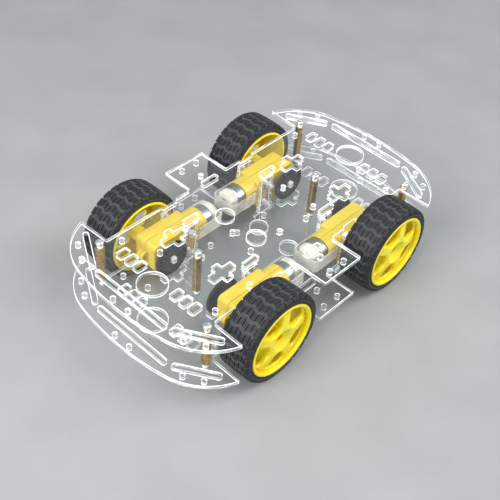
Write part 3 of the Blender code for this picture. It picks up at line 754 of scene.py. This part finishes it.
def tyre_form():
    """The carcass with its beads and sidewalls, and the tread blocks standing on it."""
    form = Form()
    half = (TYRE_V[1] - TYRE_V[0]) / 2
    side = [(26.5, 11.5), (27.4, 11.5), (27.45, 12.35), (27.8, half), (28.4, half), (28.65, half - 0.25),
            (29.3, half - 0.3), (30.3, half - 0.9), (31.1, half - 1.7), (TREAD_BASE_R, 9.8)]
    profile = side + [(radius, -v) for radius, v in reversed(side)]
    form.bands(*[(circle(radius, 120), v) for radius, v in profile + profile[:1]])
    pitch = 2 * pi * TYRE_R / TREAD_ROWS
    column, narrowest, slit, channel, ledge, edge_v = 3.45, 0.6, 0.75, 0.6, 0.85, 9.6
    shoulder = [(edge_v + 0.3, crown_radius(edge_v)), (11.2, 32.45), (12.1, 31.85), (12.55, 31.0),
                (12.65, 29.2)]
    shoulder_base = [(edge_v + 0.3, BLOCK_ROOT_R), (10.8, 31.0), (11.3, 30.6), (11.6, 30.1), (11.9, 29.1)]
    across_v = [-edge_v + 2 * edge_v * i / 26 for i in range(27)]

    def paths(stations, sunk=0.0):
        return [(v, crown_radius(v) - sunk) for v in stations], [(v, BLOCK_ROOT_R) for v in stations]

    for row in range(TREAD_ROWS):
        low, high = row * pitch + channel / 2, (row + 1) * pitch - channel / 2
        tread_block(form, *paths(across_v, 0.4), low - channel - ledge, low + ledge, tread_zigzag, 0.15)
        v = -edge_v - (column / 2 if row % 2 else 0)
        while v < edge_v - narrowest:
            near, far = max(v, -edge_v) + slit / 2, min(v + column, edge_v) - slit / 2
            if far - near > narrowest:
                tread_block(form, *paths([near, (near + far) / 2, far]), low, high, tread_zigzag)
            v += column
        for sign in (1, -1):
            swing = tread_zigzag(sign * edge_v)
            sides = [[(sign * v, radius) for v, radius in path] for path in (shoulder, shoulder_base)]
            tread_block(form, *sides, low + 0.25, high - 0.25, lambda v: swing, 0.3)
    for vert in form.bm.verts:
        vert.co.z += sum(TYRE_V) / 2
    return form


def window_half_angle(radius):
    """Half the angle that a window takes at this radius, in degrees; its corners are rounded."""
    near, far = WINDOW_R
    if not near < radius < far:
        return 0.0
    narrow, wide = SPOKE_HALF_WIDTH
    spoke = narrow + (wide - narrow) * (radius - near) / (far - near)
    full = 180 / SPOKES - degrees(asin(spoke / radius))
    inner, outer = [min(1.0, away / corner)
                    for away, corner in zip((radius - near, far - radius), WINDOW_CORNERS)]
    return full * sqrt(1 - (1 - inner) ** 2) * (1 - (1 - outer) ** 2.4) ** (1 / 2.4)


def web_top(radius):
    """The outer face of the web: a bowl at the hub, then a dome that falls away to the barrel."""
    crest, bowl_depth, fall = 77.1, 3.5, 0.0106
    if radius < BOWL_R:
        return crest - bowl_depth * (1 - (radius / BOWL_R) ** 2)
    return crest - fall * (radius - BOWL_R) ** 2


def rim_form(first_spoke):
    """The wheel's rim: barrel with lips, five domed spokes round open windows, hub with the shaft socket."""
    form = Form()
    near, far = WINDOW_R
    inner_corner, outer_corner = WINDOW_CORNERS
    rounding, barrel_r, boss_r = 1.3, 24.4, 7.2
    radii = [3.1, 3.6, 4.5, 5.5, 6.5, 7.4, 8.1, BOWL_R, 9.1, 9.6, 10.0, 10.3]
    radii += [near + inner_corner * (1 - cos(radians(15 * k))) for k in range(7)]
    radii += [14.4 + 1.0 * k for k in range(6)]
    radii += [far - outer_corner * (1 - cos(radians(12 * k))) for k in range(7, -1, -1)]
    radii += [23.6, 23.8, 24.1, barrel_r]
    radii = sorted({round(radius, 4) for radius in radii})

    def place(radius, spoke, column):
        reach = 180 / SPOKES - window_half_angle(radius)
        angle = first_spoke + 360 / SPOKES * spoke + reach * (2 * column / SPOKE_COLUMNS - 1)
        return radius * cos(radians(angle)), radius * sin(radians(angle))

    fine = [near + (far - near) * (0.5 - 0.5 * cos(pi * k / 160)) for k in range(161)]
    border = np.array([place(radius, spoke, column) for radius in fine for spoke in range(SPOKES)
                       for column in (0, SPOKE_COLUMNS)])

    def height(radius, spoke, column):
        p, q = place(radius, spoke, column)
        gap = sqrt(float(((border - (p, q)) ** 2).sum(1).min()))
        lost = 0.0
        if gap < rounding and radius < barrel_r:
            lost = rounding - sqrt(rounding ** 2 - (rounding - gap) ** 2)
        return form.point(p, q, web_top(radius) - lost)

    def floor(radius, spoke, column):
        return form.point(*place(radius, spoke, column), WEB_V[0])

    def whole(radius):
        return [place(radius, spoke, column) for spoke in range(SPOKES) for column in range(SPOKE_COLUMNS)]

    low_radii = [boss_r] + [radius for radius in radii if boss_r < radius < barrel_r] + [25.2]
    for finder, rings in ((height, radii), (floor, low_radii)):
        for inner, outer in zip(rings, rings[1:]):
            for spoke in range(SPOKES):
                strip = [[finder(radius, spoke, column) for column in range(SPOKE_COLUMNS + 1)]
                         for radius in (inner, outer)]
                for a, b, c, d in zip(strip[0], strip[0][1:], strip[1][1:], strip[1]):
                    form.face(a, b, c, d)
    for inner, outer in zip(radii, radii[1:]):
        if near <= inner and outer <= far:
            for spoke in range(SPOKES):
                for column in (0, SPOKE_COLUMNS):
                    form.face(height(inner, spoke, column), height(outer, spoke, column),
                              floor(outer, spoke, column), floor(inner, spoke, column))

    barrel = [(barrel_r, web_top(barrel_r)), (24.45, 75.4), (24.6, 76.5), (24.95, 77.2), (25.5, 77.55),
              (26.2, RIM_V[1]), (26.75, 77.45), (27.05, 77.1), (27.1, 76.4), (26.2, 76.4),
              (26.2, 52.8), (27.1, 52.8), (27.05, 52.1), (26.7, 51.75), (26.2, RIM_V[0]),
              (25.7, RIM_V[0]), (25.3, 51.9), (25.2, 52.5), (25.2, WEB_V[0])]
    root, screw_seat = WEB_V[0], WEB_V[0] - 2.0
    hub = [(boss_r, root), (6.3, root - 0.4), (5.7, root - 1.4), (5.5, root - 3.0),
           (5.5, HUB_V + 0.4), (5.1, HUB_V)]
    recess = [(3.1, web_top(3.1)), (2.85, web_top(3.1) - 0.3), (2.75, screw_seat)]
    hole = [(1.5, screw_seat), (1.5, SOCKET_END_V)]
    for profile in (barrel, hub, recess, hole):
        form.bands(*[(whole(radius), level) for radius, level in profile])
    socket = flatted(SHAFT_R + GAP, SHAFT_FLAT + GAP, 12)
    form.cap(screw_seat, whole(2.75), whole(1.5))
    form.cap(SOCKET_END_V, socket, whole(1.5))
    form.wall(socket, HUB_V, SOCKET_END_V)
    form.cap(HUB_V, whole(5.1), socket)
    return form


def disc_form():
    """The slotted encoder disc with its raised hub."""
    form = Form()
    low, high = DISC_V[0], DISC_V[1] - GAP
    opening = rounded(rectangle((10.95, 0), 2.5, 1.7), 0.3, 2)
    slots = [turned(opening, radians(18 * i)) for i in range(20)]
    bore = flatted(SHAFT_R + GAP, SHAFT_FLAT + GAP, 12)
    outer, hub_root, hub_top = circle(DISC_R, 100), circle(4.6, 40), circle(4.3, 40)
    bevel, hub_end = 0.25, high + 2.5
    tight = circle(DISC_R - bevel, 100)
    form.cap(low, tight, bore, *slots)
    form.bands((tight, low), (outer, low + bevel), (outer, high - bevel), (tight, high))
    form.cap(high, tight, hub_root, *slots)
    form.band(hub_root, high, hub_top, hub_end)
    form.cap(hub_end, hub_top, bore)
    form.wall(bore, low, hub_end)
    for opening in slots:
        form.wall(opening, low, high)
    return form


def gear_outline(teeth, module=0.5):
    """Teeth with flat tips and roots; a tooth's corners are given as (share of a pitch, height)."""
    tooth = (-0.30, -0.55), (-0.13, 0.4), (0.13, 0.4), (0.30, -0.55)
    points = []
    for i in range(teeth):
        for turn, height in tooth:
            radius = teeth * module / 2 + height
            angle = 2 * pi * (i + turn) / teeth + pi
            points.append((radius * cos(angle), radius * sin(angle)))
    return points


def output_shaft_form():
    """The double-flatted through shaft with chamfered ends, and the last gear of the train on it."""
    form = Form()
    chamfer, bore_depth, gear_low, gear_high = 0.35, 3.0, 35.2, 38.2
    shaft = flatted(SHAFT_R, SHAFT_FLAT, 14)
    tight, gear, bore = inset(shaft, chamfer), gear_outline(32), circle(0.85, 16)
    low, high = SHAFT_V
    for end, inward in ((low, 1), (high, -1)):
        form.cap(end, tight, bore)
        form.band(tight, end, shaft, end + inward * chamfer)
        form.stub(bore, end, end + inward * bore_depth)
    form.wall(shaft, low + chamfer, gear_low)
    form.cap(gear_low, shaft, gear)
    form.wall(gear, gear_low, gear_high)
    form.cap(gear_high, gear, shaft)
    form.wall(shaft, gear_high, high - chamfer)
    return form


# Gearbox and motor

def gearbox_outline(with_tab):
    """The gearbox from the side, round at its free end, with or without the fixing tab."""
    near, far, high = *CASE_U, CASE_HALF_HEIGHT
    near_corner, corner, tab = 0.8, 3.5, 4.2
    points = arc((near + near_corner, near_corner - high), near_corner, 180, 270, 3)
    points += arc((far - corner, corner - high), corner, -90, 0, 8)
    points.append((far, -tab))
    if with_tab:
        points += arc((far + 1.2, 0), tab, -70, 70, 16)
    points += [(far, tab)] + arc((far - corner, high - corner), corner, 0, 90, 8)
    return points + arc((near + near_corner, high - near_corner), near_corner, 90, 180, 3)


def pocket_outline():
    """The space inside, stepped in round the two bolt bosses."""
    near, far, high = CASE_U[0] + WALL - 0.25, CASE_U[1] - WALL, CASE_HALF_HEIGHT - WALL
    boss_half_width, boss = 3.1, BOLT_W - 2.5
    boss_near, boss_far = BOLT_U - boss_half_width, BOLT_U + boss_half_width
    half = [(near, high), (boss_near, high), (boss_near, boss), (boss_far, boss), (boss_far, high),
            (far, high)]
    return rounded([(p, -q) for p, q in half] + list(reversed(half)), 0.5, 2)


def sleeve_section(side):
    """Half of the sleeve round the motor can; side is -1 for the inner shell and 1 for the outer."""
    def upper_arc(radius, flat):
        return [(side * p, q) for p, q in arc((0, 0), radius, degrees(acos(flat / radius)), 88, 12)]

    outer_r, inner_r, rim = CASE_HALF_HEIGHT, CAN_R + CAN_CLEARANCE, side * GAP / 2
    upper = upper_arc(outer_r, (CASE_V[1] - CASE_V[0]) / 2) + [(rim, outer_r)]
    upper_in = [(rim, inner_r)] + list(reversed(upper_arc(inner_r, CAN_FLAT + CAN_CLEARANCE)))
    lower, lower_in = [[(p, -q) for p, q in reversed(half)] for half in (upper, upper_in)]
    return lower + upper + upper_in + lower_in


def shell_form(side):
    """One half of the gearbox; side is -1 for the case and 1 for the cover, on the wheel's side."""
    face = CASE_V[0] if side < 0 else CASE_V[1]
    split, floor = SPLIT_V + side * GAP / 2, face - side * WALL
    tab_edge, collar, peg_end = SPLIT_V + side * 2.6, face + side * 0.7, face + side * 1.1
    outline, tabbed, pocket = gearbox_outline(False), gearbox_outline(True), pocket_outline()
    bevel = 0.75
    edge_steps = [(bevel, 0.0), (0.37, 0.1), (0.1, 0.37), (0.0, bevel)]
    shaft_hole, collar_root, collar_top = circle(SHAFT_R + 0.6, 40), circle(5.0, 40), circle(4.6, 40)
    tab_hole = circle(1.5, 24, (CASE_U[1] + 2.4, 0))
    bolts = [circle(1.52, 20, (BOLT_U, w)) for w in (BOLT_W, -BOLT_W)]
    peg, peg_top = circle(1.9, 24, (-11.0, 0)), circle(1.6, 24, (-11.0, 0))
    form = Form()
    form.bands(*[(inset(outline, wide), face - side * deep) for wide, deep in edge_steps])
    form.wall(outline, face - side * bevel, tab_edge)
    form.wall(tabbed, tab_edge, split)
    form.wall(pocket, floor, split)
    form.wall(tab_hole, tab_edge, split)
    for bolt in bolts:
        form.wall(bolt, face, split)
    form.cap(face, inset(outline, bevel), collar_root, peg, *bolts)
    form.band(collar_root, face, collar_top, collar)
    form.cap(collar, collar_top, shaft_hole)
    form.wall(shaft_hole, collar, floor)
    form.stub(peg, face, peg_end, peg_top)
    form.cap(floor, pocket, shaft_hole)
    form.cap(tab_edge, outline, tabbed, tab_hole)
    form.cap(split, tabbed, pocket, tab_hole, *bolts)
    return form


def can_form():
    """The motor's steel can with its magnets, rolled edges, closed at the front round the shaft hole."""
    form = Form()
    bevel, body = 0.5, flatted(CAN_R, CAN_FLAT, 24)
    tight, bore, nose = inset(body, bevel), circle(6.7, 40), circle(1.5, 16)
    back, front = CAN_U
    bore_end = front - 1.0
    form.cap(back, tight, bore)
    form.bands((tight, back), (body, back + bevel), (body, front - bevel), (tight, front))
    form.wall(bore, back, bore_end)
    form.cap(bore_end, bore, nose)
    form.wall(nose, bore_end, front)
    form.cap(front, tight, nose)
    return form


def bell_outline(inwards):
    return flatted(CAN_R - 0.35 - inwards, CAN_FLAT - 0.25 - inwards, 24)


def bell_form():
    """The motor's moulded end: domed, with the bearing's boss, vents and a hollow for the commutator."""
    form = Form()
    body, pocket = bell_outline(0), circle(5.0, 32)
    near, far = CAN_U[0] - GAP, STRAP_U[0] + 1.3
    boss_root, boss_top = circle(2.6, 32), circle(2.3, 32)
    form.cap(near, body, pocket)
    form.stub(pocket, near, far + 3.4)
    form.wall(body, near, far + 3.0)
    dome = [(0.0, 3.0), (0.12, 2.1), (0.5, 1.25), (1.05, 0.6), (1.8, 0.18), (2.6, 0.0)]
    form.bands(*[(bell_outline(wide), far + deep) for wide, deep in dome])
    vents = [rounded(rectangle((0, 5.0 * up), 3.4, 1.3), 0.4, 3) for up in (1, -1)]
    form.cap(far, bell_outline(2.6), boss_root, *vents)
    for vent in vents:
        form.stub(vent, far, far + 1.2)
    form.stub(boss_root, far, far - 0.3, boss_top)
    return form


def strap_form():
    """The clear band seen from above: across the motor's end and forward along both sides."""
    thickness, half_height = 0.9, 4.6
    inside = CASE_V[1] - SPLIT_V + GAP
    outside, bar = inside + thickness, STRAP_U[0] + thickness
    half = [(STRAP_U[0], outside), (STRAP_U[1], outside), (STRAP_U[1], inside), (bar, inside)]
    form = Form()
    outline = [(p, -q) for p, q in reversed(half)] + half
    form.prism(rounded(outline, 3.0, 6), -half_height, half_height, (), 0.12)
    return form


def bracket_outline():
    """A T-shaped plate with rounded corners: the stem stands up through the lower chassis plate."""
    low, high = BRACKET_Z[0] - AXLE_Z, BRACKET_Z[1] - AXLE_Z
    shoulder = LOWER_PLATE_Z[0] - GAP - AXLE_Z
    bar, stem = [[x - WHEEL_X for x in ends] for ends in (BRACKET_BAR, BRACKET_STEM)]
    return rounded([(bar[0], low), (bar[1], low), (bar[1], shoulder), (stem[1], shoulder),
                    (stem[1], high), (stem[0], high), (stem[0], shoulder), (bar[0], shoulder)], 0.8)


def add_drive_unit(corner, sx, sy):
    """Everything at one wheel; sx and sy mirror the unit into its corner of the car."""

    def placed(view):
        def mirror(p, q, level):
            u, v, w = view(p, q, level)
            return sx * (WHEEL_X + u), sy * v, AXLE_Z + w
        return mirror

    def add(name, form, finish, body, slot_name, view, *nodes):
        obj = make(f"{name}_{corner}", form, finish, placed(view))
        fit(obj, body, slot_name, *[f"{node}_{corner}" for node in nodes])

    wheel = f"wheel_{corner}"
    spoke_angle = FRONT_SPOKE_ANGLE if sx > 0 else REAR_SPOKE_ANGLE
    add("tyre_tread", tyre_form(), "rubber", wheel, "tyre", across, "tyre")
    add("spoked_rim", rim_form(spoke_angle), "rim", wheel, "rim_yellow", across, "wheel_rim")
    add("slotted_disc", disc_form(), "black", wheel, "black_plastic", across, "encoder_disc")
    add("through_shaft", output_shaft_form(), "nylon", wheel, "nylon", across, "output_shaft")
    for name, node, side in (("inner_shell", "gearbox_case", -1), ("outer_shell", "gearbox_cover", 1)):
        shell = make(f"{name}_{corner}", shell_form(side), "housing", placed(across))
        sleeve, relief = Form(), Form()
        sleeve.prism(sleeve_section(side), *SLEEVE_U)
        combine(shell, "UNION", make("sleeve", sleeve, "housing", placed(along)))
        relief.prism(circle(1.7, 16), SLEEVE_U[1] - 3.0, SLEEVE_U[1] + 1.5)
        combine(shell, "DIFFERENCE", make("relief", relief, "housing", placed(along)))
        fit(shell, "chassis", "housing_yellow", f"{node}_{corner}")
    add("can", can_form(), "can", "chassis", "steel", along, "motor_can")
    add("end_bell", bell_form(), "bell", "chassis", "milky_plastic", along, "motor_end_cap")
    add("strap", strap_form(), "strap", "chassis", "milky_plastic", upright)
    for name, levels in (("inner", BRACKET_IN_V), ("outer", BRACKET_OUT_V)):
        form = Form()
        bolts = [circle(M3_HOLE_R, 24, (BOLT_U, w)) for w in (BOLT_W, -BOLT_W)]
        form.prism(bracket_outline(), *levels, bolts, 0.3, side_paint=1)
        add(f"{name}_bracket", form, "sheet cut edge", "chassis", "acrylic", across, f"motor_bracket_{name}")
    add_motor_bolts(corner, placed)
    for node, finish in (("idler_gear", "nylon"), ("crown_gear", "nylon"), ("motor_rotor", "steel")):
        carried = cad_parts[f"{node}_{corner}"]
        carried.data.materials.clear()
        carried.data.materials.append(MATERIALS[finish])


# Stage

def add_floor():
    form, size, drop = Form(), 24000.0, 0.02
    form.face(*form.ring(rectangle((0, 0), size, size), -drop))
    shader = Shader("studio_floor", 0.62)
    cloud = shader.noise(60.0, 4.0)
    shader.colour(shader.ramp(cloud, (0.35, (0.285, 0.29, 0.295)), (0.65, (0.31, 0.315, 0.32))))
    shader.bump(0.05, shader.noise(1.5, 3.0))
    MATERIALS["floor"] = shader.material
    make("floor", form, "floor")


def add_lamp(name, place, size, power):
    """A rectangular lamp that faces the car."""
    lamp = bpy.data.lights.new(name, "AREA")
    lamp.shape = "RECTANGLE"
    lamp.size, lamp.size_y = size
    lamp.energy = power
    obj = added(name, lamp)
    obj.location = place
    obj.rotation_euler = (Vector((0, 0, 0.03)) - Vector(place)).to_track_quat("-Z", "Y").to_euler()


def add_lights():
    add_lamp("key", (-0.70, 0.75, 1.10), (0.7, 0.7), 15.0)
    add_lamp("front", (1.05, 0.0, 0.75), (0.8, 0.5), 17.0)
    add_lamp("top", (0.25, 0.10, 1.60), (1.5, 1.5), 8.0)
    world = bpy.data.worlds.new("studio")
    world.use_nodes = True
    background = world.node_tree.nodes["Background"].inputs
    background["Color"].default_value = (0.86, 0.88, 0.9, 1)
    background["Strength"].default_value = 0.5
    bpy.context.scene.world = world


def add_camera():
    """A long lens looking down at the front left corner, a little rolled."""
    azimuth, elevation, roll = [radians(angle) for angle in (40.052, 43.476, 5.053)]
    target, distance = Vector((15.913, 8.014, 35.0)) * MM, 654.1 * MM
    back = Vector((cos(azimuth) * cos(elevation), sin(azimuth) * cos(elevation), sin(elevation)))
    right = (-back).cross(Vector((0, 0, 1))).normalized()
    up = right.cross(-back)
    right, up = right * cos(roll) + up * sin(roll), up * cos(roll) - right * sin(roll)
    data = bpy.data.cameras.new("camera")
    data.lens, data.sensor_width = 69.27, 36.0
    data.clip_start = 0.01
    camera = added("camera", data)
    turn = Matrix((right, up, back)).transposed().to_4x4()
    camera.matrix_world = Matrix.Translation(target + back * distance) @ turn
    bpy.context.scene.camera = camera


def main():
    add_camera()
    add_lights()
    add_floor()
    add_plate("lower_plate", LOWER_PLATE_Z, -1)
    add_plate("upper_plate", UPPER_PLATE_Z, 1)
    for name, (x, y) in STANDOFFS.items():
        add_standoff(name, x, y)
    for corner, (sx, sy) in CORNERS.items():
        add_drive_unit(corner, sx, sy)
    bpy.context.scene.view_settings.view_transform = "Standard"


main()
